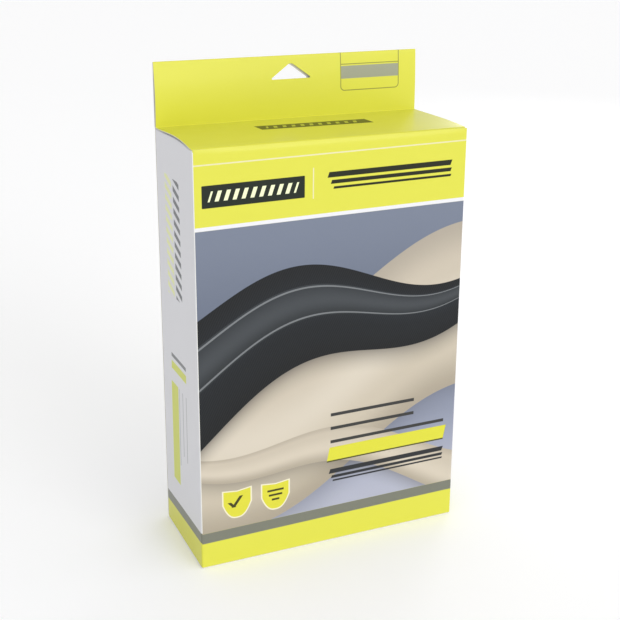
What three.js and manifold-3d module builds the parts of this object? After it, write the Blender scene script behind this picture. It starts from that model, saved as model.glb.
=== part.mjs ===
// A closed retail carton with a hang tab, in millimetres: +Z up, the front facing -Y.
// It is one die-cut blank of folding boxboard, scored and folded, and each panel between two
// scores is a solid of its own. The back panel runs on upwards as a header folded double, the
// lid is scored to the header's front ply, and its tuck flap goes down behind the front panel.
// The origin is the centre of the base, at the height that the carton stands on.
import * as THREE from "three";
import { mergeVertices } from "three/addons/utils/BufferGeometryUtils.js";
import Module from "manifold-3d";

// Sizes of the carton, outside to outside
const cartonWidth = 180;
const cartonDepth = 73;
const cartonHeight = 270;

// The board, and the room left at every score and lap
const board = 0.5;
const creaseGap = 0.3;

// Header: a double ply whose front ply springs away from the back one, most of all at the left
const headerHeight = 40;
const headerFoldRadius = 0.4;
const headerFootSpread = 1.2;
const headerBulgeLeft = 4.2;
const headerBulgeRight = 0.4;

// Hang hole: a triangle with rounded corners, through both plies
const holeWidth = 29;
const holeHeight = 10.4;
const holeAboveLid = 25.2;
const holeCornerRadius = 1.1;

// Lid: bowed up by the flaps under it, most of all at the left and towards the front
const lidBowLeft = 2.2;
const lidBowRight = 0.6;
const lidBowSkew = 1.4;

// Tuck flap: leans in from its score, so that it slides out past the front panel
const tuckLength = 18;
const tuckCornerRadius = 9;
const tuckSideRoom = 1;
const tuckLean = 8.5;

// Dust flaps at the top, scored to the two side panels
const dustLength = 55;
const dustRearRoom = 0.5;
const dustFrontRoom = 4.2;
const dustTaper = 6;
const dustCornerRadius = 5;

// Glue flap, inside the back panel at the left
const glueFlapWidth = 15;
const glueFlapTaper = 6;
const glueFlapTopRoom = 8;
const glueFlapBottomRoom = 4;

// Bottom end, glued shut: one flap over another over two short ones
const bottomFlapInset = 0.5;
const bottomInnerLength = 58;
const bottomDustLength = 50;
const bottomSideRoom = 1;

// How finely the curved stretches are divided
const foldSteps = 8;
const plySteps = 16;
const lidSteps = 20;
const widthSteps = 10;
const cornerSteps = 6;

// Print colours
const yellowPrint = { color: 0xecec4a, roughness: 0.35, metalness: 0 };
const whitePrint = { color: 0xdcdce0, roughness: 0.4, metalness: 0 };
const picturePrint = { color: 0x8d909c, roughness: 0.35, metalness: 0 };
const bareBoard = { color: 0xc9c7c0, roughness: 0.85, metalness: 0 };

const wasm = await Module();
wasm.setup();

// Heights at the top and bottom of the carton, from the board and the gaps
const lidUnderside = cartonHeight - board;
const dustFlapTop = lidUnderside - creaseGap;
const dustFlapUnderside = dustFlapTop - board;
const sidePanelTop = dustFlapUnderside - creaseGap;
const backPanelTop = cartonHeight - creaseGap;
const panelBottom = board + creaseGap;
const bottomDustUnderside = panelBottom + board + creaseGap;
const bottomFlapsTop = bottomDustUnderside + board;

// Faces across the depth of the carton
const innerHalfWidth = cartonWidth / 2 - board;
const innerHalfDepth = cartonDepth / 2 - board;
const lidFrontEdge = -(innerHalfDepth - creaseGap);
const headerFrontFace = cartonDepth / 2 - board - 2 * headerFoldRadius - headerFootSpread;
const lidReach = headerFrontFace - lidFrontEdge;

function solidOf(geometry) {
  const bare = geometry.clone();
  bare.deleteAttribute("normal");
  bare.deleteAttribute("uv");
  const merged = mergeVertices(bare, 1e-4);
  const vertProperties = new Float32Array(merged.attributes.position.array);
  const triVerts = new Uint32Array(merged.index.array);
  return new wasm.Manifold(new wasm.Mesh({ numProp: 3, vertProperties, triVerts }));
}

function geometryOf(solid) {
  const mesh = solid.getMesh();
  const geometry = new THREE.BufferGeometry();
  geometry.setAttribute("position", new THREE.BufferAttribute(mesh.vertProperties, 3));
  geometry.setIndex(new THREE.BufferAttribute(mesh.triVerts, 1));
  const flat = geometry.toNonIndexed();
  flat.computeVertexNormals();
  return flat;
}

// A closed outline whose corners are rounded, each by its own radius; corners go anticlockwise.
function roundedOutline(corners) {
  const points = [];
  corners.forEach(([x, y, radius], index) => {
    const corner = new THREE.Vector2(x, y);
    if (!radius) {
      points.push(corner);
      return;
    }
    const before = corners[(index + corners.length - 1) % corners.length];
    const after = corners[(index + 1) % corners.length];
    const toBefore = new THREE.Vector2(before[0] - x, before[1] - y).normalize();
    const toAfter = new THREE.Vector2(after[0] - x, after[1] - y).normalize();
    const halfAngle = Math.acos(THREE.MathUtils.clamp(toBefore.dot(toAfter), -1, 1)) / 2;
    const middle = toBefore.clone().add(toAfter).normalize();
    const centre = corner.clone().addScaledVector(middle, radius / Math.sin(halfAngle));
    const reach = radius / Math.tan(halfAngle);
    const start = corner.clone().addScaledVector(toBefore, reach).sub(centre);
    const end = corner.clone().addScaledVector(toAfter, reach).sub(centre);
    let sweep = end.angle() - start.angle();
    if (sweep < 0) sweep += 2 * Math.PI;
    for (let step = 0; step <= cornerSteps; step += 1) {
      const turned = start.clone().rotateAround(new THREE.Vector2(), (sweep * step) / cornerSteps);
      points.push(turned.add(centre));
    }
  });
  return new THREE.Shape(points);
}

function extruded(shape, depth) {
  return new THREE.ExtrudeGeometry(shape, { depth, bevelEnabled: false });
}

// A bent sheet of board as wide as the carton. lineAt gives its middle line in Y and Z at each
// station across the width, for a share that runs from 0 at the left end to 1 at the right end.
function bentBoard(lineAt) {
  const stations = [];
  for (let step = 0; step <= widthSteps; step += 1) {
    const share = step / widthSteps;
    const x = THREE.MathUtils.lerp(-cartonWidth / 2, cartonWidth / 2, share);
    stations.push(bothFaces(lineAt(share), x));
  }
  const corners = [];
  const quad = (a, b, c, d) => corners.push(a, b, c, a, c, d);
  const last = stations[0].upper.length - 1;
  for (let step = 0; step < widthSteps; step += 1) {
    const here = stations[step];
    const next = stations[step + 1];
    for (let row = 0; row < last; row += 1) {
      quad(here.upper[row], next.upper[row], next.upper[row + 1], here.upper[row + 1]);
      quad(here.lower[row + 1], next.lower[row + 1], next.lower[row], here.lower[row]);
    }
    quad(here.lower[0], next.lower[0], next.upper[0], here.upper[0]);
    quad(here.upper[last], next.upper[last], next.lower[last], here.lower[last]);
  }
  const left = stations[0];
  const right = stations[widthSteps];
  for (let row = 0; row < last; row += 1) {
    quad(left.lower[row], left.upper[row], left.upper[row + 1], left.lower[row + 1]);
    quad(right.lower[row + 1], right.upper[row + 1], right.upper[row], right.lower[row]);
  }
  const geometry = new THREE.BufferGeometry().setFromPoints(corners);
  geometry.computeVertexNormals();
  return geometry;
}

// The two faces of a strip of board, half a board to each side of its middle line.
function bothFaces(line, x) {
  const upper = [];
  const lower = [];
  line.forEach((point, index) => {
    const before = line[Math.max(index - 1, 0)];
    const after = line[Math.min(index + 1, line.length - 1)];
    const along = after.clone().sub(before).normalize();
    const across = new THREE.Vector2(-along.y, along.x).multiplyScalar(board / 2);
    upper.push(new THREE.Vector3(x, point.x + across.x, point.y + across.y));
    lower.push(new THREE.Vector3(x, point.x - across.x, point.y - across.y));
  });
  return { upper, lower };
}

// A flat piece drawn in X and Z, whose faces lie at frontY and frontY + thickness.
function upright(shape, thickness, frontY) {
  const axes = new THREE.Matrix4().makeBasis(
    new THREE.Vector3(1, 0, 0),
    new THREE.Vector3(0, 0, 1),
    new THREE.Vector3(0, -1, 0),
  );
  return extruded(shape, thickness).applyMatrix4(axes).translate(0, frontY + thickness, 0);
}

function piece(name, geometry, finish) {
  const mesh = new THREE.Mesh(geometry, new THREE.MeshStandardMaterial(finish));
  mesh.name = name;
  return mesh;
}

// A wall of the sleeve: its outer face at y = 0 and its ends mitred for the scored corners.
function wall(name, length, top, finish) {
  const halfOutside = length / 2 - creaseGap / Math.SQRT2;
  const halfInside = halfOutside - board;
  const plan = new THREE.Shape([
    new THREE.Vector2(-halfOutside, 0),
    new THREE.Vector2(halfOutside, 0),
    new THREE.Vector2(halfInside, board),
    new THREE.Vector2(-halfInside, board),
  ]);
  const mesh = piece(name, extruded(plan, top - panelBottom), finish);
  mesh.position.z = panelBottom;
  return mesh;
}

function sleeve() {
  const group = new THREE.Group();
  const front = wall("front_panel", cartonWidth, cartonHeight, picturePrint);
  front.position.y = -cartonDepth / 2;
  const right = wall("right_panel", cartonDepth, sidePanelTop, whitePrint);
  right.position.x = cartonWidth / 2;
  right.rotation.z = Math.PI / 2;
  const back = wall("back_panel", cartonWidth, backPanelTop, whitePrint);
  back.position.y = cartonDepth / 2;
  back.rotation.z = Math.PI;
  const left = wall("left_panel", cartonDepth, sidePanelTop, whitePrint);
  left.position.x = -cartonWidth / 2;
  left.rotation.z = -Math.PI / 2;
  group.add(front, right, back, left, glueFlap());
  return group;
}

// The strip that closes the sleeve, glued to the inside of the back panel.
function glueFlap() {
  const edge = -(innerHalfWidth - creaseGap);
  const tip = edge + glueFlapWidth;
  const low = bottomFlapsTop + glueFlapBottomRoom;
  const high = sidePanelTop - glueFlapTopRoom;
  const outline = roundedOutline([
    [edge, low, 0],
    [tip, low + glueFlapTaper, 0],
    [tip, high - glueFlapTaper, 0],
    [edge, high, 0],
  ]);
  const frontY = innerHalfDepth - creaseGap - board;
  return piece("glue_flap", upright(outline, board, frontY), bareBoard);
}

// The bottom end. The outer flap is the face that the carton stands on.
function bottomEnd() {
  const group = new THREE.Group();
  const halfWidth = cartonWidth / 2 - bottomFlapInset;
  const outer = roundedOutline([
    [-halfWidth, -cartonDepth / 2 + bottomFlapInset, 0],
    [halfWidth, -cartonDepth / 2 + bottomFlapInset, 0],
    [halfWidth, cartonDepth / 2, 0],
    [-halfWidth, cartonDepth / 2, 0],
  ]);
  group.add(piece("bottom_outer_flap", extruded(outer, board), yellowPrint));

  const innerHalf = innerHalfWidth - bottomSideRoom;
  const innerFront = -(innerHalfDepth - creaseGap);
  const inner = roundedOutline([
    [-innerHalf, innerFront, 0],
    [innerHalf, innerFront, 0],
    [innerHalf - bottomSideRoom, innerFront + bottomInnerLength, dustCornerRadius],
    [-innerHalf + bottomSideRoom, innerFront + bottomInnerLength, dustCornerRadius],
  ]);
  const innerFlap = piece("bottom_inner_flap", extruded(inner, board), bareBoard);
  innerFlap.position.z = panelBottom;
  group.add(innerFlap);

  for (const [name, side] of [["bottom_dust_flap_left", -1], ["bottom_dust_flap_right", 1]]) {
    const flap = piece(name, extruded(dustOutline(bottomDustLength, bottomSideRoom), board), bareBoard);
    flap.rotation.z = side > 0 ? Math.PI : 0;
    flap.position.set(side * (innerHalfWidth - creaseGap), 0, bottomDustUnderside);
    group.add(flap);
  }
  return group;
}

// A short flap that reaches inwards from a side panel, along +X, and tapers towards its tip.
function dustOutline(length, sideRoom) {
  const half = innerHalfDepth - creaseGap - board - sideRoom;
  return roundedOutline([
    [0, -half, 0],
    [length, -half + dustTaper, dustCornerRadius],
    [length, half - dustTaper, dustCornerRadius],
    [0, half, 0],
  ]);
}

// A top dust flap: it starts over its side panel and stops short of the tuck flap.
function dustFlap(name, side) {
  const rear = innerHalfDepth - creaseGap - board - dustRearRoom;
  const front = -(innerHalfDepth - creaseGap - board - dustFrontRoom);
  const inwards = -side;
  const corners = [
    [0, front, 0],
    [dustLength, front + dustTaper, dustCornerRadius],
    [dustLength, rear - dustTaper, dustCornerRadius],
    [0, rear, 0],
  ].map(([x, y, radius]) => [inwards * x, y, radius]);
  const outline = roundedOutline(inwards > 0 ? corners : corners.reverse());
  const mesh = piece(name, extruded(outline, board), whitePrint);
  mesh.position.set(side * (cartonWidth / 2), 0, dustFlapUnderside);
  return mesh;
}

function hangHole() {
  const outline = roundedOutline([
    [-holeWidth / 2, 0, holeCornerRadius],
    [holeWidth / 2, 0, holeCornerRadius],
    [0, holeHeight, holeCornerRadius],
  ]);
  const reach = 2 * board + 2 * headerFoldRadius + headerFootSpread + headerBulgeLeft;
  const cutter = upright(outline, 2 * reach, cartonDepth / 2 - 1.5 * reach);
  return cutter.translate(0, 0, cartonHeight + holeAboveLid);
}

// Both plies of the header, as one bent sheet: up the back, over the fold and down the front.
function header() {
  const backLine = cartonDepth / 2 - board / 2;
  const foldHeight = cartonHeight + headerHeight - board / 2 - headerFoldRadius;
  const foot = cartonHeight + creaseGap / 2;
  const lineAt = (share) => {
    const bulge = THREE.MathUtils.lerp(headerBulgeLeft, headerBulgeRight, share);
    const line = [new THREE.Vector2(backLine, cartonHeight)];
    for (let step = 0; step <= foldSteps; step += 1) {
      const angle = (Math.PI * step) / foldSteps;
      line.push(new THREE.Vector2(
        backLine - headerFoldRadius + headerFoldRadius * Math.cos(angle),
        foldHeight + headerFoldRadius * Math.sin(angle),
      ));
    }
    for (let step = 1; step <= plySteps; step += 1) {
      const down = step / plySteps;
      const spread = headerFootSpread * down + bulge * Math.sin(Math.PI * down);
      line.push(new THREE.Vector2(
        backLine - 2 * headerFoldRadius - spread,
        THREE.MathUtils.lerp(foldHeight, foot, down),
      ));
    }
    return line;
  };
  const plies = solidOf(bentBoard(lineAt));
  return piece("header", geometryOf(plies.subtract(solidOf(hangHole()))), yellowPrint);
}

// The lid and its tuck flap, drawn about the score at the header's foot.
function lid() {
  const group = new THREE.Group();
  group.position.set(0, headerFrontFace, cartonHeight);
  const lineAt = (share) => {
    const bow = THREE.MathUtils.lerp(lidBowLeft, lidBowRight, share);
    const line = [];
    for (let step = 0; step <= lidSteps; step += 1) {
      const forward = step / lidSteps;
      const rise = bow * Math.sin(Math.PI * forward ** lidBowSkew);
      const y = THREE.MathUtils.lerp(-creaseGap, -lidReach, forward);
      line.push(new THREE.Vector2(y, rise - board / 2));
    }
    return line;
  };
  group.add(piece("lid", bentBoard(lineAt), yellowPrint));

  const halfWidth = innerHalfWidth - tuckSideRoom;
  const outline = roundedOutline([
    [-halfWidth, -tuckLength, tuckCornerRadius],
    [halfWidth, -tuckLength, tuckCornerRadius],
    [halfWidth, -creaseGap / 2, 0],
    [-halfWidth, -creaseGap / 2, 0],
  ]);
  const tuck = piece("tuck_flap", upright(outline, board, -board), yellowPrint);
  tuck.position.set(0, board - lidReach, -board - creaseGap / 2);
  tuck.rotation.x = THREE.MathUtils.degToRad(tuckLean);
  group.add(tuck);
  return group;
}

const carton = new THREE.Group();
carton.add(
  sleeve(),
  bottomEnd(),
  dustFlap("dust_flap_left", -1),
  dustFlap("dust_flap_right", 1),
  header(),
  lid(),
);

export default carton;
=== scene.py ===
import math

import bmesh
import bpy
from mathutils import Matrix, Vector, noise
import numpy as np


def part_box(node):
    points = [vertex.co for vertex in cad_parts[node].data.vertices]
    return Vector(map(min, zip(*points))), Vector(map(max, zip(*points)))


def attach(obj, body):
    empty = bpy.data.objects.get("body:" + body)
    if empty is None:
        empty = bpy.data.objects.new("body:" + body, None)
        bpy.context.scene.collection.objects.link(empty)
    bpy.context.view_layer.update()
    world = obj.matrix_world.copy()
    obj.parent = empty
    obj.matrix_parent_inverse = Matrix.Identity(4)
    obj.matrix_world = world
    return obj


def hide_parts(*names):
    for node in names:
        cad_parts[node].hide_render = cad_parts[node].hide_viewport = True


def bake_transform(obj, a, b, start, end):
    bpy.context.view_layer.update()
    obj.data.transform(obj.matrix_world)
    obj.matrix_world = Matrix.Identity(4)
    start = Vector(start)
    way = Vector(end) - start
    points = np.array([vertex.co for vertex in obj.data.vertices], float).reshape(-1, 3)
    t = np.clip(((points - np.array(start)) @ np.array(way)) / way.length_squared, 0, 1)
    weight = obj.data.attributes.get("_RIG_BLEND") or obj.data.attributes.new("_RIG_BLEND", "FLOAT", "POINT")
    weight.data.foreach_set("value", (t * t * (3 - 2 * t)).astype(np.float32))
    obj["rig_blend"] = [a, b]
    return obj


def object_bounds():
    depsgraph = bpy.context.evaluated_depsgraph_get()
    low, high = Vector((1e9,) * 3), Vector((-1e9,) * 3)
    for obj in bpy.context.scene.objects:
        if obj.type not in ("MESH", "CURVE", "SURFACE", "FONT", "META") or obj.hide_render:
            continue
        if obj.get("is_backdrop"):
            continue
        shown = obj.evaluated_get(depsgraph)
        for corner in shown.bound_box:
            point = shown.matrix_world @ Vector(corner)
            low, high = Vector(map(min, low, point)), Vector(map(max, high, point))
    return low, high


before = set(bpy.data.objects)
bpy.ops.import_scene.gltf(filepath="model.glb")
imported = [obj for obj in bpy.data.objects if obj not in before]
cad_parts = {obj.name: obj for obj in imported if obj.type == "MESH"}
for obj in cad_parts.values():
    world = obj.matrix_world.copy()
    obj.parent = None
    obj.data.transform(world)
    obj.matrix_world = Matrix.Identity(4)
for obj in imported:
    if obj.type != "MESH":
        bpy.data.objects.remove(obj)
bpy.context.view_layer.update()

# Sleeve: the glue flap, left, front, right and back panels of the printed blank.
# Folding boxboard, printed and film laminated on one face, creased at the corners
# and glued where the back panel laps over the glue flap.
MM = 0.001
front_low, front_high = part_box("front_panel")
back_low, back_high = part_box("back_panel")
left_low, left_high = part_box("left_panel")
right_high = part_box("right_panel")[1]
glue_low, glue_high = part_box("glue_flap")
outer_flap_low, outer_flap_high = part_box("bottom_outer_flap")
board_thickness = outer_flap_high.z - outer_flap_low.z
crease_radius = 1.2 * MM
crease_steps = 5
sharp_angle = math.radians(40)
hair = 0.01 * MM
near = 0.1 * MM
panel_bow = 0.45 * MM
panel_ripple = 0.12 * MM
lid_back, lid_front = 33.7 * MM, -35.7 * MM
top_bow_left, top_bow_right = 1.5 * MM, 0.3 * MM
bow_skew = 1.4


def folded_sheet(route, run, radii, facing):
    """A sheet whose section is a route of corners, swept along run, with each inner corner rounded."""
    sheet = bmesh.new()
    corners = [sheet.verts.new(point) for point in route]
    edges = [sheet.edges.new(pair) for pair in zip(corners, corners[1:])]
    swept = bmesh.ops.extrude_edge_only(sheet, edges=edges)["geom"]
    moved = [item for item in swept if isinstance(item, bmesh.types.BMVert)]
    bmesh.ops.translate(sheet, vec=run, verts=moved)
    for corner, radius in zip(route[1:-1], radii):
        middle = Vector(corner) + Vector(run) / 2
        crease = min(
            sheet.edges, key=lambda edge: (edge.verts[0].co + edge.verts[1].co - 2 * middle).length
        )
        bmesh.ops.bevel(
            sheet, geom=[crease], offset=radius, offset_type="OFFSET", segments=crease_steps,
            profile=0.5, affect="EDGES", material=-1,
        )
    start = (Vector(route[0]) + Vector(route[1]) + Vector(run)) / 2
    sheet.faces.ensure_lookup_table()
    first = min(sheet.faces, key=lambda face: (face.calc_center_median() - start).length)
    first.normal_update()
    if first.normal.dot(Vector(facing)) < 0:
        bmesh.ops.reverse_faces(sheet, faces=sheet.faces[:])
    return sheet


def cut_across(sheet, axis, places, picked=lambda face: True):
    """Adds a row of edges across the picked faces of a sheet at each place along an axis."""
    for place in places:
        faces = [face for face in sheet.faces if picked(face)]
        edges = [edge for edge in sheet.edges if any(map(picked, edge.link_faces))]
        corners = [corner for corner in sheet.verts if any(map(picked, corner.link_faces))]
        bmesh.ops.bisect_plane(
            sheet, geom=corners + edges + faces, dist=1e-7, plane_co=Vector(axis) * place,
            plane_no=Vector(axis),
        )


def spaced(low, high, count):
    """Places from low to high, in count even steps, without the two ends."""
    return [low + (high - low) * step / count for step in range(1, count)]


def keep_rest_place(piece):
    """Stores each point's own place on its mesh, so that the print stays on the board when it folds."""
    marks = piece.data.attributes
    rest_place = marks.get("rest_place") or marks.new("rest_place", "FLOAT_VECTOR", "POINT")
    for corner in piece.data.vertices:
        rest_place.data[corner.index].vector = corner.co


def as_board(name, sheet, finishes):
    """Gives a sheet its thickness; its last two finishes are the reverse and the cut edge."""
    mesh = bpy.data.meshes.new(name)
    sheet.normal_update()
    sheet.to_mesh(mesh)
    sheet.free()
    for finish in finishes:
        mesh.materials.append(finish)
    piece = bpy.data.objects.new(name, mesh)
    bpy.context.scene.collection.objects.link(piece)
    printed = len(mesh.polygons)
    wall = piece.modifiers.new("board", "SOLIDIFY")
    wall.thickness = board_thickness
    wall.offset = -1
    wall.use_even_offset = True
    graph = bpy.context.evaluated_depsgraph_get()
    piece.data = bpy.data.meshes.new_from_object(piece.evaluated_get(graph))
    piece.data.name = name
    piece.modifiers.clear()
    for face in piece.data.polygons:
        face.use_smooth = True
        if face.index >= 2 * printed:
            face.material_index = len(finishes) - 1
        elif face.index >= printed:
            face.material_index = len(finishes) - 2
    piece.data.set_sharp_from_angle(angle=sharp_angle)
    keep_rest_place(piece)
    return piece


def linear(code):
    """The linear colour of a printed ink given as a hex code."""
    shares = [int(code[place:place + 2], 16) / 255 for place in (0, 2, 4)]
    return [
        share / 12.92 if share <= 0.04045 else ((share + 0.055) / 1.055) ** 2.4 for share in shares
    ] + [1]


def wired(tree, kind, inputs, **settings):
    """Adds a node with its settings, and feeds each input from a socket or a value."""
    node = tree.nodes.new(kind)
    for key, value in settings.items():
        setattr(node, key, value)
    for key, source in inputs.items():
        if isinstance(source, bpy.types.NodeSocket):
            tree.links.new(source, node.inputs[key])
        else:
            node.inputs[key].default_value = source
    return node


def maths(tree, operation, first, second=0.0, third=0.0, clamp=False):
    """One step of arithmetic on numbers."""
    node = wired(
        tree, "ShaderNodeMath", {0: first, 1: second, 2: third}, operation=operation, use_clamp=clamp
    )
    return node.outputs[0]


def mixed(tree, mask, under, over):
    """One colour laid over another where the mask is 1."""
    node = wired(tree, "ShaderNodeMix", {0: mask, 6: under, 7: over}, data_type="RGBA", blend_type="MIX")
    return node.outputs[2]


def new_group(name, inputs, outputs):
    """A shader node group with named inputs, each with a first value, and named outputs."""
    tree = bpy.data.node_groups.new(name, "ShaderNodeTree")
    for label, (kind, value) in inputs.items():
        socket = tree.interface.new_socket(name=label, in_out="INPUT", socket_type="NodeSocket" + kind)
        socket.default_value = value
    for label, kind in outputs.items():
        tree.interface.new_socket(name=label, in_out="OUTPUT", socket_type="NodeSocket" + kind)
    return tree, tree.nodes.new("NodeGroupInput").outputs, tree.nodes.new("NodeGroupOutput").inputs


def new_material(name):
    """An empty node material, its shader, and the place on the board at rest in millimetres."""
    material = bpy.data.materials.new(name)
    material.use_nodes = True
    tree = material.node_tree
    shader = tree.nodes["Principled BSDF"]
    place = wired(tree, "ShaderNodeAttribute", {}, attribute_name="rest_place").outputs["Vector"]
    scaled = wired(tree, "ShaderNodeVectorMath", {0: place, "Scale": 1000.0}, operation="SCALE").outputs[0]
    return material, tree, shader, scaled


# One printed bar: a mask that is 1 inside a rectangle with round corners and slanted ends.
bar_tree, given, wanted = new_group(
    "printed bar",
    {
        "Point": ("Vector", (0, 0, 0)), "Centre": ("Vector", (0, 0, 0)),
        "Half Size": ("Vector", (1, 1, 0)),
        "Corner": ("Float", 0.0), "Slant": ("Float", 0.0), "Soft": ("Float", 0.12),
    },
    {"Mask": "Float"},
)
local = wired(
    bar_tree, "ShaderNodeVectorMath", {0: given["Point"], 1: given["Centre"]}, operation="SUBTRACT"
)
local = wired(bar_tree, "ShaderNodeSeparateXYZ", {0: local.outputs[0]}).outputs
half = wired(bar_tree, "ShaderNodeSeparateXYZ", {0: given["Half Size"]}).outputs
sheared = maths(bar_tree, "SUBTRACT", local[0], maths(bar_tree, "MULTIPLY", local[1], given["Slant"]))
across = maths(bar_tree, "SUBTRACT", maths(bar_tree, "ABSOLUTE", sheared), half[0])
across = maths(bar_tree, "ADD", across, given["Corner"])
along = maths(bar_tree, "SUBTRACT", maths(bar_tree, "ABSOLUTE", local[1]), half[1])
along = maths(bar_tree, "ADD", along, given["Corner"])
outer_across = maths(bar_tree, "POWER", maths(bar_tree, "MAXIMUM", across, 0.0), 2.0)
outer_along = maths(bar_tree, "POWER", maths(bar_tree, "MAXIMUM", along, 0.0), 2.0)
outside = maths(bar_tree, "SQRT", maths(bar_tree, "ADD", outer_across, outer_along))
inside = maths(bar_tree, "MINIMUM", maths(bar_tree, "MAXIMUM", across, along), 0.0)
distance = maths(bar_tree, "SUBTRACT", maths(bar_tree, "ADD", outside, inside), given["Corner"])
share = maths(bar_tree, "DIVIDE", distance, maths(bar_tree, "MULTIPLY", given["Soft"], 2.0))
bar_tree.links.new(maths(bar_tree, "SUBTRACT", 0.5, share, clamp=True), wanted["Mask"])

# Slanted stripes at an even pitch.
stripe_tree, given, wanted = new_group(
    "printed stripes",
    {
        "Point": ("Vector", (0, 0, 0)), "Pitch": ("Float", 4.0), "Share": ("Float", 0.5),
        "Slant": ("Float", 0.0), "Soft": ("Float", 0.1),
    },
    {"Mask": "Float"},
)
local = wired(stripe_tree, "ShaderNodeSeparateXYZ", {0: given["Point"]}).outputs
sheared = maths(stripe_tree, "SUBTRACT", local[0], maths(stripe_tree, "MULTIPLY", local[1], given["Slant"]))
turn = maths(stripe_tree, "PINGPONG", sheared, maths(stripe_tree, "MULTIPLY", given["Pitch"], 0.5))
edge = maths(stripe_tree, "MULTIPLY", given["Pitch"], maths(stripe_tree, "MULTIPLY", given["Share"], 0.5))
share = maths(stripe_tree, "DIVIDE", maths(stripe_tree, "SUBTRACT", edge, turn), given["Soft"])
stripe_tree.links.new(maths(stripe_tree, "ADD", share, 0.5, clamp=True), wanted["Mask"])

# A waved ribbon of the picture: its mask, the place across it, and the soft shadow below it.
ribbon_tree, given, wanted = new_group(
    "printed ribbon",
    {
        "Point": ("Vector", (0, 0, 0)), "Level": ("Float", 120.0), "Slope": ("Float", 0.0),
        "Wave": ("Float", 20.0), "Length": ("Float", 200.0), "Phase": ("Float", 0.0),
        "Half Width": ("Float", 20.0), "Narrowing": ("Float", 0.0), "Shadow Reach": ("Float", 12.0),
    },
    {"Mask": "Float", "Across": "Float", "Shadow": "Float"},
)
local = wired(ribbon_tree, "ShaderNodeSeparateXYZ", {0: given["Point"]}).outputs
angle = maths(ribbon_tree, "MULTIPLY", maths(ribbon_tree, "DIVIDE", local[0], given["Length"]), 2 * math.pi)
swing = maths(ribbon_tree, "SINE", maths(ribbon_tree, "ADD", angle, given["Phase"]))
middle = maths(ribbon_tree, "MULTIPLY_ADD", local[0], given["Slope"], given["Level"])
middle = maths(ribbon_tree, "MULTIPLY_ADD", swing, given["Wave"], middle)
breadth = maths(ribbon_tree, "MULTIPLY_ADD", local[0], given["Narrowing"], given["Half Width"])
breadth = maths(ribbon_tree, "MAXIMUM", breadth, 0.5)
above = maths(ribbon_tree, "SUBTRACT", local[1], middle)
ribbon_tree.links.new(maths(ribbon_tree, "DIVIDE", above, breadth), wanted["Across"])
clearance = maths(ribbon_tree, "SUBTRACT", breadth, maths(ribbon_tree, "ABSOLUTE", above))
ribbon_tree.links.new(maths(ribbon_tree, "MULTIPLY_ADD", clearance, 4.0, 0.5, clamp=True), wanted["Mask"])
below = maths(ribbon_tree, "SUBTRACT", maths(ribbon_tree, "MULTIPLY", above, -1.0), breadth)
fade = maths(ribbon_tree, "DIVIDE", below, given["Shadow Reach"])
shade = maths(ribbon_tree, "SUBTRACT", 1.0, fade, clamp=True)
shade = maths(ribbon_tree, "MULTIPLY", shade, maths(ribbon_tree, "GREATER_THAN", below, 0.0))
ribbon_tree.links.new(maths(ribbon_tree, "POWER", shade, 1.6), wanted["Shadow"])

# Film laminated ink: faint mottle in the ink, small rubs, and the ripple of the film.
film_tree, given, wanted = new_group(
    "laminated ink",
    {"Point": ("Vector", (0, 0, 0)), "Ink": ("Color", (1, 1, 1, 1)), "Mottle": ("Float", 0.03)},
    {"Color": "Color", "Roughness": "Float", "Height": "Float"},
)
cloud = wired(film_tree, "ShaderNodeTexNoise", {"Vector": given["Point"], "Scale": 0.035, "Detail": 3.0})
grain = wired(film_tree, "ShaderNodeTexNoise", {"Vector": given["Point"], "Scale": 1.6, "Detail": 2.0})
fine = maths(film_tree, "MULTIPLY", grain.outputs[0], 0.3)
both = maths(film_tree, "MULTIPLY_ADD", cloud.outputs[0], 0.7, fine)
level = maths(film_tree, "MULTIPLY_ADD", maths(film_tree, "SUBTRACT", both, 0.5), given["Mottle"], 1.0)
scaled = wired(film_tree, "ShaderNodeVectorMath", {0: given["Ink"], "Scale": level}, operation="SCALE")
film_tree.links.new(scaled.outputs[0], wanted["Color"])
rub = wired(film_tree, "ShaderNodeTexNoise", {"Vector": given["Point"], "Scale": 0.09, "Detail": 6.0})
film_tree.links.new(maths(film_tree, "MULTIPLY_ADD", rub.outputs[0], 0.08, 0.3), wanted["Roughness"])
peel = wired(film_tree, "ShaderNodeTexNoise", {"Vector": given["Point"], "Scale": 0.5, "Detail": 2.0})
billow = wired(film_tree, "ShaderNodeTexNoise", {"Vector": given["Point"], "Scale": 0.03, "Detail": 1.0})
ripples = maths(film_tree, "MULTIPLY_ADD", peel.outputs[0], 0.004, billow.outputs[0])
film_tree.links.new(ripples, wanted["Height"])

# Uncoated board: fibres, flecks of recycled pulp and a soft nap.
pulp_tree, given, wanted = new_group(
    "board pulp",
    {
        "Point": ("Vector", (0, 0, 0)), "Pulp": ("Color", (1, 1, 1, 1)),
        "Fleck": ("Color", (0.2, 0.2, 0.2, 1)),
    },
    {"Color": "Color", "Height": "Float"},
)
fibre = wired(
    pulp_tree, "ShaderNodeTexNoise",
    {"Vector": given["Point"], "Scale": 2.5, "Detail": 8.0, "Roughness": 0.7},
)
fleck = wired(
    pulp_tree, "ShaderNodeTexNoise",
    {"Vector": given["Point"], "Scale": 0.9, "Detail": 5.0, "Roughness": 0.8},
)
flecks = maths(pulp_tree, "MULTIPLY_ADD", fleck.outputs[0], 9.0, -5.9, clamp=True)
level = maths(pulp_tree, "MULTIPLY_ADD", fibre.outputs[0], 0.22, 0.89)
toned = wired(pulp_tree, "ShaderNodeVectorMath", {0: given["Pulp"], "Scale": level}, operation="SCALE")
speckle = maths(pulp_tree, "MULTIPLY", flecks, 0.35)
pulp_tree.links.new(mixed(pulp_tree, speckle, toned.outputs[0], given["Fleck"]), wanted["Color"])
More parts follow.
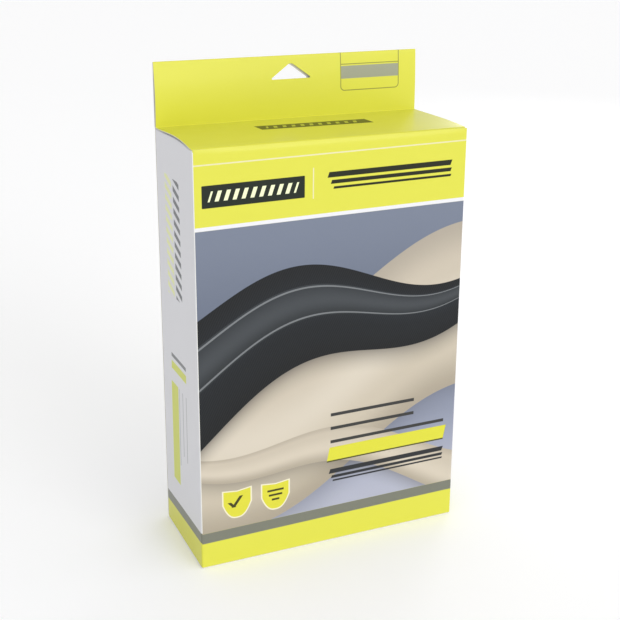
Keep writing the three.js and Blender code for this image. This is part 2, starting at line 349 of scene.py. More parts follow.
pulp_tree.links.new(fibre.outputs[0], wanted["Height"])


# A shield badge: a mask with straight sides, a dipped top and a pointed foot.
badge_tree, given, wanted = new_group(
    "printed badge",
    {
        "Point": ("Vector", (0, 0, 0)), "Centre": ("Vector", (0, 0, 0)),
        "Half Size": ("Vector", (10, 10, 0)),
        "Inset": ("Float", 0.0),
    },
    {"Mask": "Float"},
)
local = wired(
    badge_tree, "ShaderNodeVectorMath", {0: given["Point"], 1: given["Centre"]}, operation="SUBTRACT"
)
local = wired(badge_tree, "ShaderNodeSeparateXYZ", {0: local.outputs[0]}).outputs
half = wired(badge_tree, "ShaderNodeSeparateXYZ", {0: given["Half Size"]}).outputs
width = maths(badge_tree, "SUBTRACT", half[0], given["Inset"])
height = maths(badge_tree, "SUBTRACT", half[1], given["Inset"])
aside = maths(badge_tree, "DIVIDE", maths(badge_tree, "ABSOLUTE", local[0]), width)
foot = maths(badge_tree, "SUBTRACT", maths(badge_tree, "POWER", aside, 2.6), 1.0)
foot = maths(badge_tree, "MULTIPLY", height, foot)
crown = maths(badge_tree, "MULTIPLY", height, maths(badge_tree, "MULTIPLY_ADD", aside, 0.12, 0.86))
past_side = maths(badge_tree, "MULTIPLY", maths(badge_tree, "SUBTRACT", aside, 1.0), width)
past_foot = maths(badge_tree, "SUBTRACT", foot, local[1])
past_crown = maths(badge_tree, "SUBTRACT", local[1], crown)
past_end = maths(badge_tree, "MAXIMUM", past_foot, past_crown)
distance = maths(badge_tree, "MAXIMUM", past_side, past_end)
badge_tree.links.new(maths(badge_tree, "MULTIPLY_ADD", distance, -4.0, 0.5, clamp=True), wanted["Mask"])


def pulp_material(name, pulp, fleck):
    """Uncoated board, such as the reverse and the cut edges."""
    material, tree, shader, point = new_material(name)
    board = wired(
        tree, "ShaderNodeGroup", {"Point": point, "Pulp": linear(pulp), "Fleck": linear(fleck)},
        node_tree=pulp_tree,
    )
    tree.links.new(board.outputs["Color"], shader.inputs["Base Color"])
    bump = wired(
        tree, "ShaderNodeBump", {"Height": board.outputs["Height"], "Strength": 0.25, "Distance": 0.0002}
    )
    tree.links.new(bump.outputs[0], shader.inputs["Normal"])
    shader.inputs["Roughness"].default_value = 0.85
    return material


def printed_material(tree, shader, point, ink):
    """Finishes a printed face: laminated ink over the drawn colours, under a clear gloss film."""
    film = wired(tree, "ShaderNodeGroup", {"Point": point, "Ink": ink}, node_tree=film_tree)
    tree.links.new(film.outputs["Color"], shader.inputs["Base Color"])
    tree.links.new(film.outputs["Roughness"], shader.inputs["Roughness"])
    bump = wired(
        tree, "ShaderNodeBump", {"Height": film.outputs["Height"], "Strength": 0.3, "Distance": 0.0003}
    )
    tree.links.new(bump.outputs[0], shader.inputs["Normal"])
    shader.inputs["Coat Weight"].default_value = 0.08
    shader.inputs["Coat Roughness"].default_value = 0.12
    shader.inputs["IOR"].default_value = 1.34


def bar(tree, point, left, right, low, high, corner=0.0, slant=0.0):
    """The mask of one printed bar."""
    shape = {
        "Point": point, "Centre": ((left + right) / 2, (low + high) / 2, 0),
        "Half Size": ((right - left) / 2, (high - low) / 2, 0), "Corner": corner, "Slant": slant,
    }
    return wired(tree, "ShaderNodeGroup", shape, node_tree=bar_tree).outputs["Mask"]


def band(tree, point, low, high):
    """The mask of a band that runs past both edges of a panel."""
    return bar(tree, point, -past_edges, past_edges, low, high)


def badge(tree, point, left, right, low, high, inset):
    """The mask of one shield badge."""
    shape = {
        "Point": point, "Centre": ((left + right) / 2, (low + high) / 2, 0),
        "Half Size": ((right - left) / 2, (high - low) / 2, 0), "Inset": inset,
    }
    return wired(tree, "ShaderNodeGroup", shape, node_tree=badge_tree).outputs["Mask"]


def stripes(tree, point, pitch, share, slant):
    """The mask of slanted stripes."""
    shape = {"Point": point, "Pitch": pitch, "Share": share, "Slant": slant}
    return wired(tree, "ShaderNodeGroup", shape, node_tree=stripe_tree).outputs["Mask"]


def ribbon(tree, point, **shape):
    """The mask, place across and shadow of one ribbon of the picture."""
    values = {label.replace("_", " ").title(): value for label, value in shape.items()}
    return wired(tree, "ShaderNodeGroup", {"Point": point, **values}, node_tree=ribbon_tree).outputs


def ramp(tree, value, stops):
    """A smooth run of colours along a value from -1 to 1."""
    place = maths(tree, "MULTIPLY_ADD", value, 0.5, 0.5, clamp=True)
    node = wired(tree, "ShaderNodeValToRGB", {0: place})
    node.color_ramp.interpolation = "EASE"
    elements = node.color_ramp.elements
    while len(elements) < len(stops):
        elements.new(0.5)
    for element, (where, code) in zip(elements, sorted(stops.items())):
        element.position = where
        element.color = linear(code)
    return node.outputs[0]


def flat_point(tree, point, across, up):
    """The place on a flat panel: how far across it and how high."""
    parts = wired(tree, "ShaderNodeSeparateXYZ", {0: point}).outputs
    return wired(tree, "ShaderNodeCombineXYZ", {0: parts[across], 1: parts[up]}).outputs[0], parts


YELLOW = "D3D248"
OLIVE = "171C02"
CREAM = "DCD8B0"
PAPER_WHITE = "D4D4D8"
BAND_GREY = "74766A"

reverse_board = pulp_material("board reverse", "D3D1CB", "8E8A80")
cut_board = pulp_material("cut board edge", "DAD7C4", "A39D8C")

# Print of the front panel, in millimetres across and up. It runs a little out of square.
print_skew = 0.009
past_edges = 200
base_top, band_top = 18.2, 25.2
picture_top, white_line_top = 222.5, 224.8
backdrop_scale, backdrop_shift = 0.0101, -1.2507
front_print, tree, shader, point = new_material("front print")
parts = wired(tree, "ShaderNodeSeparateXYZ", {0: point}).outputs
level = maths(tree, "MULTIPLY_ADD", parts[0], -print_skew, parts[2])
flat = wired(tree, "ShaderNodeCombineXYZ", {0: parts[0], 1: level}).outputs[0]
picture = ramp(
    tree, maths(tree, "MULTIPLY_ADD", parts[2], backdrop_scale, backdrop_shift),
    {0.0: "A9ACBC", 0.3: "8A90A2", 0.65: "636B7C", 1.0: "727A8B"},
)
far_wave = ribbon(
    tree, flat, level=112, slope=0.3, wave=15, length=230, phase=-0.5, half_width=58,
    narrowing=-0.02, shadow_reach=26,
)
near_wave = ribbon(
    tree, flat, level=150, slope=0.24, wave=17, length=215, phase=2.4, half_width=29,
    narrowing=-0.15, shadow_reach=16,
)
inner_wave = ribbon(
    tree, flat, level=158, slope=0.21, wave=16, length=215, phase=2.4, half_width=10,
    narrowing=-0.06, shadow_reach=5,
)
thin_wave = ribbon(
    tree, flat, level=60, slope=-0.22, wave=11, length=190, phase=1.2, half_width=12,
    narrowing=0.05, shadow_reach=14,
)
picture = mixed(tree, maths(tree, "MULTIPLY", far_wave["Shadow"], 0.35), picture, linear("3A3F4B"))
sand = ramp(
    tree, far_wave["Across"],
    {0.0: "A39988", 0.25: "BFB5A3", 0.5: "CCC3B3", 0.75: "BFB5A4", 1.0: "A79E90"},
)
picture = mixed(tree, far_wave["Mask"], picture, sand)
picture = mixed(tree, maths(tree, "MULTIPLY", thin_wave["Shadow"], 0.45), picture, linear("4E4C46"))
pale = ramp(tree, thin_wave["Across"], {0.0: "A99F8E", 0.4: "C9BFAE", 0.8: "BFB5A4", 1.0: "AFA595"})
picture = mixed(tree, thin_wave["Mask"], picture, pale)
picture = mixed(tree, maths(tree, "MULTIPLY", near_wave["Shadow"], 0.6), picture, linear("2B2B2D"))
rib = stripes(tree, flat, 1.6, 0.5, 0.5)
dark = ramp(tree, near_wave["Across"], {0.0: "07090B", 0.3: "0D1115", 0.6: "171C22", 1.0: "0A0D10"})
dark = mixed(tree, maths(tree, "MULTIPLY", rib, 0.12), dark, linear("3A3E44"))
picture = mixed(tree, near_wave["Mask"], picture, dark)
grey = ramp(tree, inner_wave["Across"], {0.0: "25292C", 0.5: "3E4246", 1.0: "2E3236"})
picture = mixed(tree, inner_wave["Mask"], picture, grey)
seam_line = maths(tree, "COMPARE", maths(tree, "ABSOLUTE", inner_wave["Across"]), 0.86, 0.05)
picture = mixed(tree, maths(tree, "MULTIPLY", seam_line, 0.6), picture, linear("8B8F92"))

ink = mixed(tree, band(tree, flat, band_top, picture_top), linear(YELLOW), picture)
ink = mixed(tree, band(tree, flat, picture_top, white_line_top), ink, linear("DFDFE3"))
ink = mixed(tree, band(tree, flat, base_top, band_top), ink, linear(BAND_GREY))
ink = mixed(tree, band(tree, flat, 261.1, 261.9), ink, linear(CREAM))
ink = mixed(tree, bar(tree, flat, -15.1, -14.4, 234.7, 253.6), ink, linear(CREAM))
plate = bar(tree, flat, -84.7, -20.3, 235.9, 249.4, corner=0.5)
ink = mixed(tree, plate, ink, linear("121C10"))
plate_row = bar(tree, flat, -80, -25, 239.6, 245.8, slant=0.35)
plate_bars = maths(tree, "MULTIPLY", plate_row, stripes(tree, flat, 5.5, 0.45, 0.35))
ink = mixed(tree, plate_bars, ink, linear("EAF0C4"))
heading_stripes = ((246.6, 250.0), (242.6, 245.0), (239.4, 240.9))
for low, high in heading_stripes:
    stripe = bar(tree, flat, -5.0 + (250 - high) * 0.4, 79.3, low, high, slant=0.35)
    ink = mixed(tree, stripe, ink, linear(OLIVE))
rule_half = 1.1
rules = ((90.5, 58.6), (81.0, 58.6), (71.5, 81.4))
for level, right in rules:
    rule = bar(tree, flat, -1.5, right, level - rule_half, level + rule_half)
    ink = mixed(tree, rule, ink, linear("353534"))
ink = mixed(tree, bar(tree, flat, -3, 82.6, 57.2, 67.5, slant=0.2), ink, linear("4B4A1C"))
ink = mixed(tree, bar(tree, flat, -3, 82.6, 58.2, 67.5, slant=0.2), ink, linear("D2D03A"))
foot_stripes = ((48.8, 52.0), (45.4, 47.4), (43.0, 44.2))
for low, high in foot_stripes:
    stripe = bar(tree, flat, -2.0 + (52 - high) * 0.3, 81.5, low, high, slant=0.35)
    ink = mixed(tree, stripe, ink, linear("26282B"))
badge_rim = 0.9
badges = ((-75.9, -55.9, 31.8, 52.5), (-49.8, -29.9, 31.7, 51.9))
for left, right, low, high in badges:
    ink = mixed(tree, badge(tree, flat, left, right, low, high, 0.0), ink, linear("E4DFC4"))
    ink = mixed(tree, badge(tree, flat, left, right, low, high, badge_rim), ink, linear("D2CE3A"))
tick_dark = linear("3B3A12")
ink = mixed(tree, bar(tree, flat, -70.6, -68.2, 39.6, 43.4, slant=-0.9), ink, tick_dark)
ink = mixed(tree, bar(tree, flat, -67.0, -64.6, 39.6, 47.0, slant=0.75), ink, tick_dark)
badge_middle = -39.8
badge_rule_half = 0.7
badge_rules = ((45.6, 5.6), (42.4, 4.6), (39.2, 2.6))
for level, reach in badge_rules:
    left, right = badge_middle - reach, badge_middle + reach
    rule = bar(tree, flat, left, right, level - badge_rule_half, level + badge_rule_half)
    ink = mixed(tree, rule, ink, tick_dark)
white_corner_x, white_corner_top = -89.2, 268.6
wrap = maths(tree, "LESS_THAN", parts[0], white_corner_x)
wrap = maths(tree, "MULTIPLY", wrap, maths(tree, "GREATER_THAN", parts[2], band_top))
wrap = maths(tree, "MULTIPLY", wrap, maths(tree, "LESS_THAN", parts[2], white_corner_top))
ink = mixed(tree, wrap, ink, linear("ECECE6"))
printed_material(tree, shader, point, ink)

# Print of the two side panels. Its base and band run down a little towards the back.
half_depth = 36.5
band_slope = 0.043
side_print, tree, shader, point = new_material("side print")
flat, parts = flat_point(tree, point, 1, 2)
turned = wired(tree, "ShaderNodeCombineXYZ", {0: parts[2], 1: parts[1]}).outputs[0]
hatch = stripes(tree, turned, 7.0, 0.5, 0.35)
dark_strip = maths(tree, "MULTIPLY", bar(tree, flat, -9, 3, 168.3, 244.7), hatch)
ink = mixed(tree, dark_strip, linear(PAPER_WHITE), linear("5A5D60"))
pale_strip = maths(tree, "MULTIPLY", bar(tree, flat, 6.3, 19.3, 168, 245), hatch)
ink = mixed(tree, pale_strip, ink, linear("DDE0A0"))
ink = mixed(tree, bar(tree, flat, -12, 17.5, 125.3, 127.9), ink, linear("6F7274"))
ink = mixed(tree, bar(tree, flat, -12, 17.8, 117, 122.5), ink, linear("C9CF4A"))
ink = mixed(tree, bar(tree, flat, 5.5, 19, 38.5, 108), ink, linear("C9CF4A"))
for across, low in ((3.5, 54), (-3.8, 63.5), (-11, 62)):
    ink = mixed(tree, bar(tree, flat, across - 0.5, across + 0.5, low, 107.5), ink, linear("9A9C9E"))
rise = maths(tree, "MULTIPLY_ADD", parts[1], band_slope, half_depth * band_slope)
level = maths(tree, "ADD", parts[2], rise)
ink = mixed(tree, maths(tree, "LESS_THAN", level, band_top), ink, linear(BAND_GREY))
ink = mixed(tree, maths(tree, "LESS_THAN", level, base_top), ink, linear(YELLOW))
printed_material(tree, shader, point, ink)

# Print of the back panel.
back_base_top, back_band_top = 15.8, 21.6
back_print, tree, shader, point = new_material("back print")
flat = flat_point(tree, point, 0, 2)[0]
ink = mixed(tree, band(tree, flat, white_line_top, 400), linear(PAPER_WHITE), linear(YELLOW))
ink = mixed(tree, band(tree, flat, picture_top, white_line_top), ink, linear(BAND_GREY))
ink = mixed(tree, band(tree, flat, back_base_top, back_band_top), ink, linear(BAND_GREY))
ink = mixed(tree, band(tree, flat, -50, back_base_top), ink, linear(YELLOW))
printed_material(tree, shader, point, ink)

left_x, right_x = left_low.x, right_high.x
front_y, back_y = front_low.y, back_high.y
base_z = front_low.z
side_top = left_high.z
front_top = front_high.z
back_top = back_high.z
lap_x = back_low.x
sleeve = folded_sheet(
    [
        (glue_high.x, glue_high.y, base_z), (left_x, glue_high.y, base_z), (left_x, front_y, base_z),
        (right_x, front_y, base_z), (right_x, back_y, base_z), (lap_x, back_y, base_z),
    ],
    (0, 0, front_top - base_z), [crease_radius] * 4, (0, 1, 0),
)
corner_room = crease_radius * 1.02
shoulder = 1.0 * MM
glue_taper = 6 * MM
mid_height = 100 * MM
soft_edge = 3.6 * MM
soft_lean = 0.85 * MM
soft_ends = 7 * MM
notch_front, notch_back = -31.2 * MM, 34.9 * MM


def swell(share):
    """A bow that is nothing at both ends of a panel and full in the middle."""
    return math.sin(math.pi * min(max(share, 0.0), 1.0))


def lid_share(y):
    """How far forward a place lies under the lid, skewed as the lid's bow is."""
    return min(max((lid_back - y) / (lid_back - lid_front), 0.0), 1.0) ** bow_skew


def side_lift(x, y):
    """How far a side panel's crease is drawn up under the bowed lid."""
    return (top_bow_left if x < 0 else top_bow_right) * swell(lid_share(y))


for corner in sleeve.verts:
    place = corner.co
    is_glue = place.x > left_x + corner_room and abs(place.y - glue_high.y) < near
    on_side = abs(abs(place.x) - right_x) < hair
    turn_left = max(0.0, 1 - (right_x - abs(place.x)) / crease_radius)
    if is_glue:
        taper = glue_taper if place.x > glue_high.x - near else 0.0
        place.z = glue_high.z - taper if place.z > mid_height else glue_low.z + taper
    elif place.z > mid_height:
        top = back_top if place.y > 0 else front_top
        place.z = top - (top - side_top - shoulder) * (1.0 if on_side else turn_left ** 2)
row_heights = (2, 4, 10, 20, 40, 60, 80, 100, 120, 140, 160, 180, 200, 220, 240, 255, 262, 266)
cut_across(sleeve, (0, 0, 1), [row * MM for row in row_heights])
near_crease = crease_radius + 0.8 * MM
cut_across(sleeve, (1, 0, 0), [left_x + near_crease, right_x - near_crease] + spaced(left_x, right_x, 10))
cut_across(sleeve, (0, 1, 0), [front_y + near_crease] + spaced(notch_front, notch_back, 10))


def on_front(face):
    """Whether a face is on the flat of the front panel."""
    return all(abs(corner.co.y - front_y) < hair for corner in face.verts)


cut_across(sleeve, (0, 0, 1), [front_top - soft_edge * step / 4 for step in (3, 2, 1)], on_front)
notch_ends = [notch_front - 0.4 * MM, notch_front, notch_back, notch_back + 0.3 * MM]
cut_across(sleeve, (0, 1, 0), notch_ends)
for corner in sleeve.verts:
    if corner.co.z > side_top + shoulder * 0.9 and abs(abs(corner.co.x) - right_x) < hair:
        if notch_front - near < corner.co.y < notch_back + near:
            corner.co.z = side_top + side_lift(corner.co.x, corner.co.y)

for corner in sleeve.verts:
    place = corner.co.copy()
    height = swell((place.z - base_z) / (front_top - base_z))
    ripple = noise.noise(place * 14) * panel_ripple - panel_ripple
    if abs(place.y - front_y) < hair:
        bow = (panel_bow - ripple) * height
        corner.co.y += bow * swell((place.x - left_x) / (right_x - left_x))
        lean = max(0.0, 1 - (front_top - place.z) / soft_edge) ** 2
        fade = min(max((right_x - crease_radius - abs(place.x)) / soft_ends, 0.0), 1.0)
        corner.co.y += soft_lean * lean * fade
    elif abs(abs(place.x) - right_x) < hair:
        inward = 1 if place.x < 0 else -1
        bow = (panel_bow - ripple) * height
        corner.co.x += inward * bow * swell((place.y - front_y) / (back_y - front_y))
sleeve.normal_update()
for face in sleeve.faces:
    middle = face.calc_center_median()
    face.material_index = 1
    if face.normal.y < -0.75:
        face.material_index = 0
    elif face.normal.y > 0.75 and middle.y > glue_high.y + 0.2 * MM:
        face.material_index = 2
    elif abs(middle.y - glue_high.y) < near and middle.x > left_x + crease_radius:
        face.material_index = 3
carton_sleeve = as_board(
    "carton_sleeve", sleeve, [front_print, side_print, back_print, reverse_board, cut_board]
)
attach(carton_sleeve, "carton")
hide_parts("front_panel", "right_panel", "back_panel", "left_panel", "glue_flap")

# Bottom end: an outer flap from the back panel over an inner flap from the front panel
# and two dust flaps from the sides, all of the same board, hot glued shut.
inner_flap_low, inner_flap_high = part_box("bottom_inner_flap")
bottom_crease = 0.8 * MM
base_yellow, tree, shader, point = new_material("base print")
printed_material(tree, shader, point, linear(YELLOW))
outer_flap = folded_sheet(
    [
        (outer_flap_low.x, outer_flap_high.y, base_z),
        (outer_flap_low.x, outer_flap_high.y, outer_flap_low.z),
        (outer_flap_low.x, outer_flap_low.y, outer_flap_low.z),
    ],
    (outer_flap_high.x - outer_flap_low.x, 0, 0), [bottom_crease * 0.99], (0, 1, 0),
)
cut_across(outer_flap, (1, 0, 0), spaced(outer_flap_low.x, outer_flap_high.x, 6))
bottom_outer = as_board("bottom_outer_board", outer_flap, [base_yellow, reverse_board, cut_board])
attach(bottom_outer, "carton")
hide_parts("bottom_outer_flap")

inner_flap = folded_sheet(
    [
        (inner_flap_low.x, inner_flap_low.y, inner_flap_low.z), (0, inner_flap_low.y, inner_flap_low.z),
        (inner_flap_high.x, inner_flap_low.y, inner_flap_low.z),
    ],
    (0, inner_flap_high.y - inner_flap_low.y, 0), [], (0, 0, -1),
)
bottom_inner = as_board("bottom_inner_board", inner_flap, [base_yellow, reverse_board, cut_board])
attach(bottom_inner, "carton")
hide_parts("bottom_inner_flap")

for side in ("left", "right"):
    flap_low, flap_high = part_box("bottom_dust_flap_" + side)
    root_x, tip_x = (flap_low.x, flap_high.x) if side == "left" else (flap_high.x, flap_low.x)
    dust = folded_sheet(
        [
            (root_x, flap_low.y, flap_low.z), (root_x, 0, flap_low.z), (root_x, flap_high.y, flap_low.z),
        ],
        (tip_x - root_x, 0, 0), [], (0, 0, -1),
    )
    bottom_dust = as_board("bottom_dust_board_" + side, dust, [base_yellow, reverse_board, cut_board])
    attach(bottom_dust, "carton")
    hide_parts("bottom_dust_flap_" + side)

# Dust flaps: two short flaps of the same board, creased to the side panels' tops.
# They turn in under the lid, and their free ends are cut back and rounded.
dust_crease = 0.78 * MM
dust_taper = 6 * MM
dust_corner = 5 * MM
bend_start = 3 * MM


def rounded(sheet, corners, offset, segments):
    """Rounds the given corners of a flat sheet."""
    bmesh.ops.bevel(
        sheet, geom=corners, offset=offset, offset_type="OFFSET", segments=segments,
        profile=0.5, affect="VERTICES", material=-1,
    )


for side in ("left", "right"):
    flap_low, flap_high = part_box("dust_flap_" + side)
    outward = -1 if side == "left" else 1
    root_x = left_x if side == "left" else right_x
    tip_x = flap_high.x if side == "left" else flap_low.x
    dust = folded_sheet(
        [
            (root_x, flap_low.y, side_top), (root_x, flap_low.y, flap_high.z),
            (tip_x, flap_low.y, flap_high.z),
        ],
        (0, flap_high.y - flap_low.y, 0), [dust_crease], (outward, 0, 0),
    )
    cut_across(dust, (1, 0, 0), [root_x - outward * bend_start])
    tip = [corner for corner in dust.verts if abs(corner.co.x - tip_x) < near]
    for corner in tip:
        corner.co.y += dust_taper if corner.co.y < 0 else -dust_taper
    rounded(dust, tip, dust_corner, 6)
    cut_across(dust, (0, 1, 0), spaced(notch_front, notch_back, 10))
    for corner in dust.verts:
        reach = abs(corner.co.x - root_x) / abs(tip_x - root_x)
        corner.co.z += side_lift(root_x, corner.co.y) * max(0.0, 1 - reach)
    dust_board = as_board("dust_board_" + side, dust, [side_print, reverse_board, cut_board])
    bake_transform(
        dust_board, "carton", "dust_" + side,
        start=(root_x, 0, side_top), end=(root_x - outward * dust_crease, 0, side_top),
    )
    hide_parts("dust_flap_" + side)

# Header: the back panel's board carried on upwards, folded over at the top and down again.
# The triangular hang hole is die cut through both plies, which are a little out of register.
header_low, header_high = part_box("header")
fold_outer = 0.65 * MM
ply_pitch = 1.3 * MM
foot_z = 270.5 * MM
spread_foot_z = 270.15 * MM
bend_room = 0.6 * MM
fold_z = header_high.z - fold_outer
front_ply_y = header_high.y - ply_pitch
foot_spread = 1.2 * MM
bulge_left = 1.4 * MM
bulge_right = 0.4 * MM


def ply_spread(x, z):
    """How far the front ply stands off the back ply, at a place on the header."""
    down = min(max((fold_z - z) / (fold_z - spread_foot_z), 0.0), 1.0)
    bulge = bulge_left + (bulge_right - bulge_left) * (x - left_x) / (right_x - left_x)
    return foot_spread * down + bulge * math.sin(math.pi * down)


header_print, tree, shader, point = new_material("header print")
flat, parts = flat_point(tree, point, 0, 2)
ink = linear("D4D344")
tab_outer = bar(tree, flat, 34.7, 77.5, 285.3, 330, corner=3.0)
tab_inner = bar(tree, flat, 35.3, 76.9, 285.9, 330, corner=2.4)
tab_line = maths(tree, "SUBTRACT", tab_outer, tab_inner, clamp=True)
front_face = maths(tree, "LESS_THAN", parts[1], 35.9)
tab_rule = bar(tree, flat, 35.3, 77, 302.2, 302.8)
tab_band = bar(tree, flat, 35.3, 77, 293.2, 301.4)
for mask, code in ((tab_line, "8A8A3A"), (tab_rule, "8A8A3A"), (tab_band, "979A86")):
    ink = mixed(tree, maths(tree, "MULTIPLY", mask, front_face), ink, linear(code))
printed_material(tree, shader, point, ink)

header = folded_sheet(
    [
        (left_x, header_high.y, back_top), (left_x, header_high.y, header_high.z),
        (left_x, front_ply_y, header_high.z), (left_x, front_ply_y, foot_z),
    ],
    (right_x - left_x, 0, 0), [fold_outer * 0.99] * 2, (0, 1, 0),
)
cut_across(header, (0, 0, 1), spaced(header_low.z, fold_z, 14) + [header_low.z + bend_room])
cut_across(header, (1, 0, 0), spaced(left_x, right_x, 16))
for corner in header.verts:
    if corner.co.y < front_ply_y + hair:
        corner.co.y -= ply_spread(corner.co.x, corner.co.z)
header_board = as_board("header_board", header, [header_print, reverse_board, cut_board])

hole_width = 29 * MM
hole_height = 10.4 * MM
hole_base = 295.2 * MM
hole_corner = 2.2 * MM
ply_slip = 1.6 * MM
ply_drop = 0.5 * MM


def punch(name, low_y, high_y, slip, drop):
    """A rounded triangular prism that punches the hang hole."""
    cutter = bmesh.new()
    corners = [
        cutter.verts.new((-hole_width / 2 + slip, low_y, hole_base - drop)),
        cutter.verts.new((hole_width / 2 + slip, low_y, hole_base - drop)),
        cutter.verts.new((slip, low_y, hole_base - drop + hole_height)),
    ]
    cutter.faces.new(corners)
    rounded(cutter, cutter.verts[:], hole_corner, 5)
    grown = bmesh.ops.extrude_face_region(cutter, geom=cutter.faces[:])["geom"]
    moved = [item for item in grown if isinstance(item, bmesh.types.BMVert)]
    bmesh.ops.translate(cutter, vec=(0, high_y - low_y, 0), verts=moved)
    bmesh.ops.recalc_face_normals(cutter, faces=cutter.faces[:])
    mesh = bpy.data.meshes.new(name)
    cutter.to_mesh(mesh)
    cutter.free()
    mesh.materials.append(cut_board)
    tool = bpy.data.objects.new(name, mesh)
    bpy.context.scene.collection.objects.link(tool)
    return tool


back_cut = (35.88 * MM, 37.5 * MM, -ply_slip, ply_drop)
front_cut = (25 * MM, 35.75 * MM, 0.0, 0.0)
for low_y, high_y, slip, drop in (back_cut, front_cut):
    tool = punch("punch", low_y, high_y, slip, drop)
    cut = header_board.modifiers.new("hole", "BOOLEAN")
    cut.operation = "DIFFERENCE"
    cut.solver = "EXACT"
    cut.object = tool
    cut.material_mode = "TRANSFER"
    graph = bpy.context.evaluated_depsgraph_get()
    header_board.data = bpy.data.meshes.new_from_object(header_board.evaluated_get(graph))
    header_board.modifiers.clear()
    bpy.data.objects.remove(tool)
header_board.data.set_sharp_from_angle(angle=sharp_angle)
keep_rest_place(header_board)
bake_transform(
    header_board, "carton", "header",
    start=(0, header_high.y, back_top), end=(0, header_high.y, header_low.z + bend_room),
)
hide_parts("header")

# Lid: a panel of the same board, creased to the foot of the header's front ply. The
# board's spring bows it up a little, more at the left.
lid_outer_z = 270.0 * MM
lid_crease = 0.35 * MM
tuck_roll = 3.2 * MM
bow_left = 2.2 * MM
bow_right = 0.6 * MM


def lid_rise(x, y):
    """How high the lid's bow stands at a place on it."""
    bow = bow_left + (bow_right - bow_left) * (x - left_x) / (right_x - left_x)
    return bow * swell(lid_share(y))


lid_print, tree, shader, point = new_material("lid print")
flat = flat_point(tree, point, 0, 1)[0]
plate = bar(tree, flat, -34.5, 41, -3.4, 10.8)
ink = mixed(tree, plate, linear("D8D746"), linear("1C2404"))
plate_row = bar(tree, flat, -29, 35, 0.4, 7.2, slant=0.3)
lid_bars = maths(tree, "MULTIPLY", plate_row, stripes(tree, flat, 6.0, 0.4, 0.3))
ink = mixed(tree, lid_bars, ink, linear("A9AE3E"))
printed_material(tree, shader, point, ink)
shader.inputs["Specular IOR Level"].default_value = 0.3
lid = folded_sheet(
    [
        (left_x, front_ply_y - foot_spread, foot_z), (left_x, front_ply_y - foot_spread, lid_outer_z),
        (left_x, lid_front + tuck_roll, lid_outer_z),
    ],
    (right_x - left_x, 0, 0), [lid_crease], (0, -1, 0),
)
cut_across(lid, (0, 1, 0), spaced(lid_front + tuck_roll, lid_back - lid_crease, 20))
cut_across(lid, (1, 0, 0), spaced(left_x, right_x, 16))
for corner in lid.verts:
    corner.co.y += foot_spread - ply_spread(corner.co.x, corner.co.z)
    corner.co.z += lid_rise(corner.co.x, corner.co.y)
lid_board = as_board("lid_board", lid, [lid_print, reverse_board, cut_board])
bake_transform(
    lid_board, "header", "lid",
    start=(0, front_ply_y - foot_spread, lid_outer_z + lid_crease),
    end=(0, lid_back - lid_crease, lid_outer_z),
)
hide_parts("lid")

# Tuck flap: a short flap of the same board, creased to the lid's front edge. It rolls over
# and pushes down behind the front panel, which holds the lid shut.
tuck_low, tuck_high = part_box("tuck_flap")
tuck_tip = Vector((0, tuck_high.y - board_thickness, tuck_low.z))
tuck_half = tuck_high.x
tuck_corner = 9 * MM
ear_depth = 1.2 * MM
tuck = folded_sheet(
    [
        (-tuck_half, lid_front + tuck_roll, lid_outer_z), (-tuck_half, lid_front, lid_outer_z),
        (-tuck_half, tuck_tip.y, tuck_tip.z),
    ],
    (2 * tuck_half, 0, 0), [tuck_roll], (0, 0, 1),
)
ends = [corner for corner in tuck.verts if corner.co.z < tuck_tip.z + near]
rounded(tuck, ends, tuck_corner, 8)
cut_across(tuck, (1, 0, 0), spaced(left_x, right_x, 16))
for corner in tuck.verts:
    depth = lid_outer_z - corner.co.z
    if depth < tuck_roll:
        if abs(corner.co.x) > tuck_half - hair:
            width = right_x + (tuck_half - right_x) * min(depth / ear_depth, 1.0)
            corner.co.x = math.copysign(width, corner.co.x)
        corner.co.z += lid_rise(corner.co.x, corner.co.y)
tuck_board = as_board("tuck_board", tuck, [lid_print, reverse_board, cut_board])
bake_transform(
    tuck_board, "lid", "tuck",
    start=(0, lid_front + tuck_roll, lid_outer_z), end=(0, lid_front, lid_outer_z - tuck_roll),
)
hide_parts("tuck_flap")

# Floor, lights and camera: a pale studio floor, soft even light with one low sun, and the
# photograph's viewing angle.
floor_material, tree, shader, point = new_material("studio floor")
shader.inputs["Base Color"].default_value = (0.96, 0.96, 0.965, 1)
shader.inputs["Roughness"].default_value = 0.7
shader.inputs["Emission Color"].default_value = (1, 1, 1, 1)
shader.inputs["Emission Strength"].default_value = 0.1
floor = bmesh.new()
bmesh.ops.create_grid(floor, x_segments=1, y_segments=1, size=14)
floor_mesh = bpy.data.meshes.new("studio_floor")
floor.to_mesh(floor_mesh)
floor.free()
floor_mesh.materials.append(floor_material)
studio_floor = bpy.data.objects.new("studio_floor", floor_mesh)
bpy.context.scene.collection.objects.link(studio_floor)
studio_floor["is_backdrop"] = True

bpy.context.scene.view_settings.view_transform = "Standard"
sky_level, sky_right, sky_front = 0.84, 0.16, 0.24
sun_strength = 0.95
sun_azimuth = math.radians(18)
sun_height = math.radians(15)
world = bpy.data.worlds.new("studio")
world.use_nodes = True
tree = world.node_tree
aim = wired(tree, "ShaderNodeSeparateXYZ", {0: tree.nodes.new("ShaderNodeTexCoord").outputs["Generated"]})
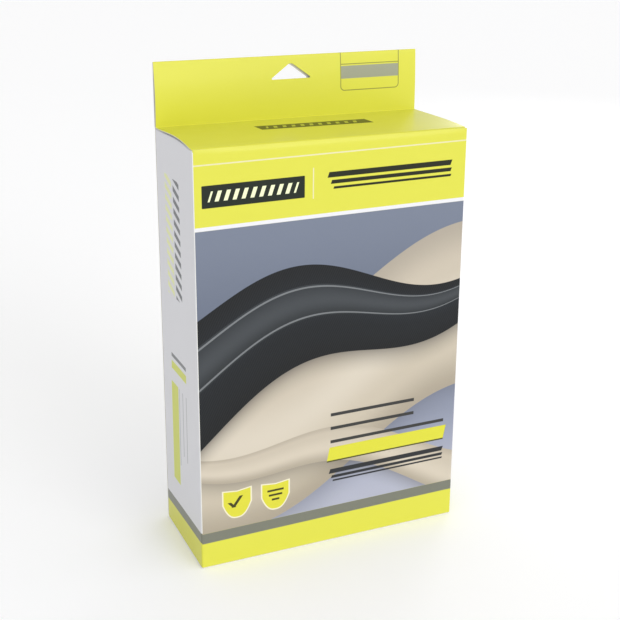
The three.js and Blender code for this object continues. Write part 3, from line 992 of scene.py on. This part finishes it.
level = maths(tree, "MULTIPLY_ADD", aim.outputs[0], sky_right, sky_level)
level = maths(tree, "MULTIPLY_ADD", aim.outputs[1], -sky_front, level)
tree.links.new(level, tree.nodes["Background"].inputs["Strength"])
tree.nodes["Background"].inputs["Color"].default_value = (1, 1, 1, 1)
bpy.context.scene.world = world

sun_light = bpy.data.lights.new("sun", "SUN")
sun_light.energy = sun_strength
sun_light.angle = math.radians(35)
sun = bpy.data.objects.new("sun", sun_light)
sun_way = Vector((
    math.sin(sun_azimuth) * math.cos(sun_height), -math.cos(sun_azimuth) * math.cos(sun_height),
    math.sin(sun_height),
))
sun.rotation_euler = sun_way.to_track_quat("Z", "Y").to_euler()
bpy.context.scene.collection.objects.link(sun)

target = Vector((0.0133, 0, 0.1754))
glow_light = bpy.data.lights.new("glow", "AREA")
glow_light.shape = "RECTANGLE"
glow_light.size = 0.5
glow_light.size_y = 0.5
glow_light.energy = 12
glow = bpy.data.objects.new("glow", glow_light)
glow.location = (1.2, 1.25, 0.55)
glow.visible_diffuse = False
glow.rotation_euler = (glow.location - target).to_track_quat("Z", "Y").to_euler()
bpy.context.scene.collection.objects.link(glow)

view_azimuth = math.radians(-24.53)
view_elevation = math.radians(17.96)
view_roll = math.radians(0.63)
view_distance = 0.7706
back = Vector((
    math.sin(view_azimuth) * math.cos(view_elevation), -math.cos(view_azimuth) * math.cos(view_elevation),
    math.sin(view_elevation),
))
level_right = (-back).cross(Vector((0, 0, 1))).normalized()
level_up = level_right.cross(-back)
camera_right = level_right * math.cos(view_roll) + level_up * math.sin(view_roll)
camera_up = level_up * math.cos(view_roll) - level_right * math.sin(view_roll)
lens = bpy.data.cameras.new("camera")
lens.lens = 68.96
lens.sensor_width = 36
lens.shift_x = -0.0323
lens.shift_y = -0.0645
camera = bpy.data.objects.new("camera", lens)
turn = Matrix((camera_right, camera_up, back)).transposed().to_4x4()
camera.matrix_world = Matrix.Translation(target + back * view_distance) @ turn
bpy.context.scene.collection.objects.link(camera)
bpy.context.scene.camera = camera

low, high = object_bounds()
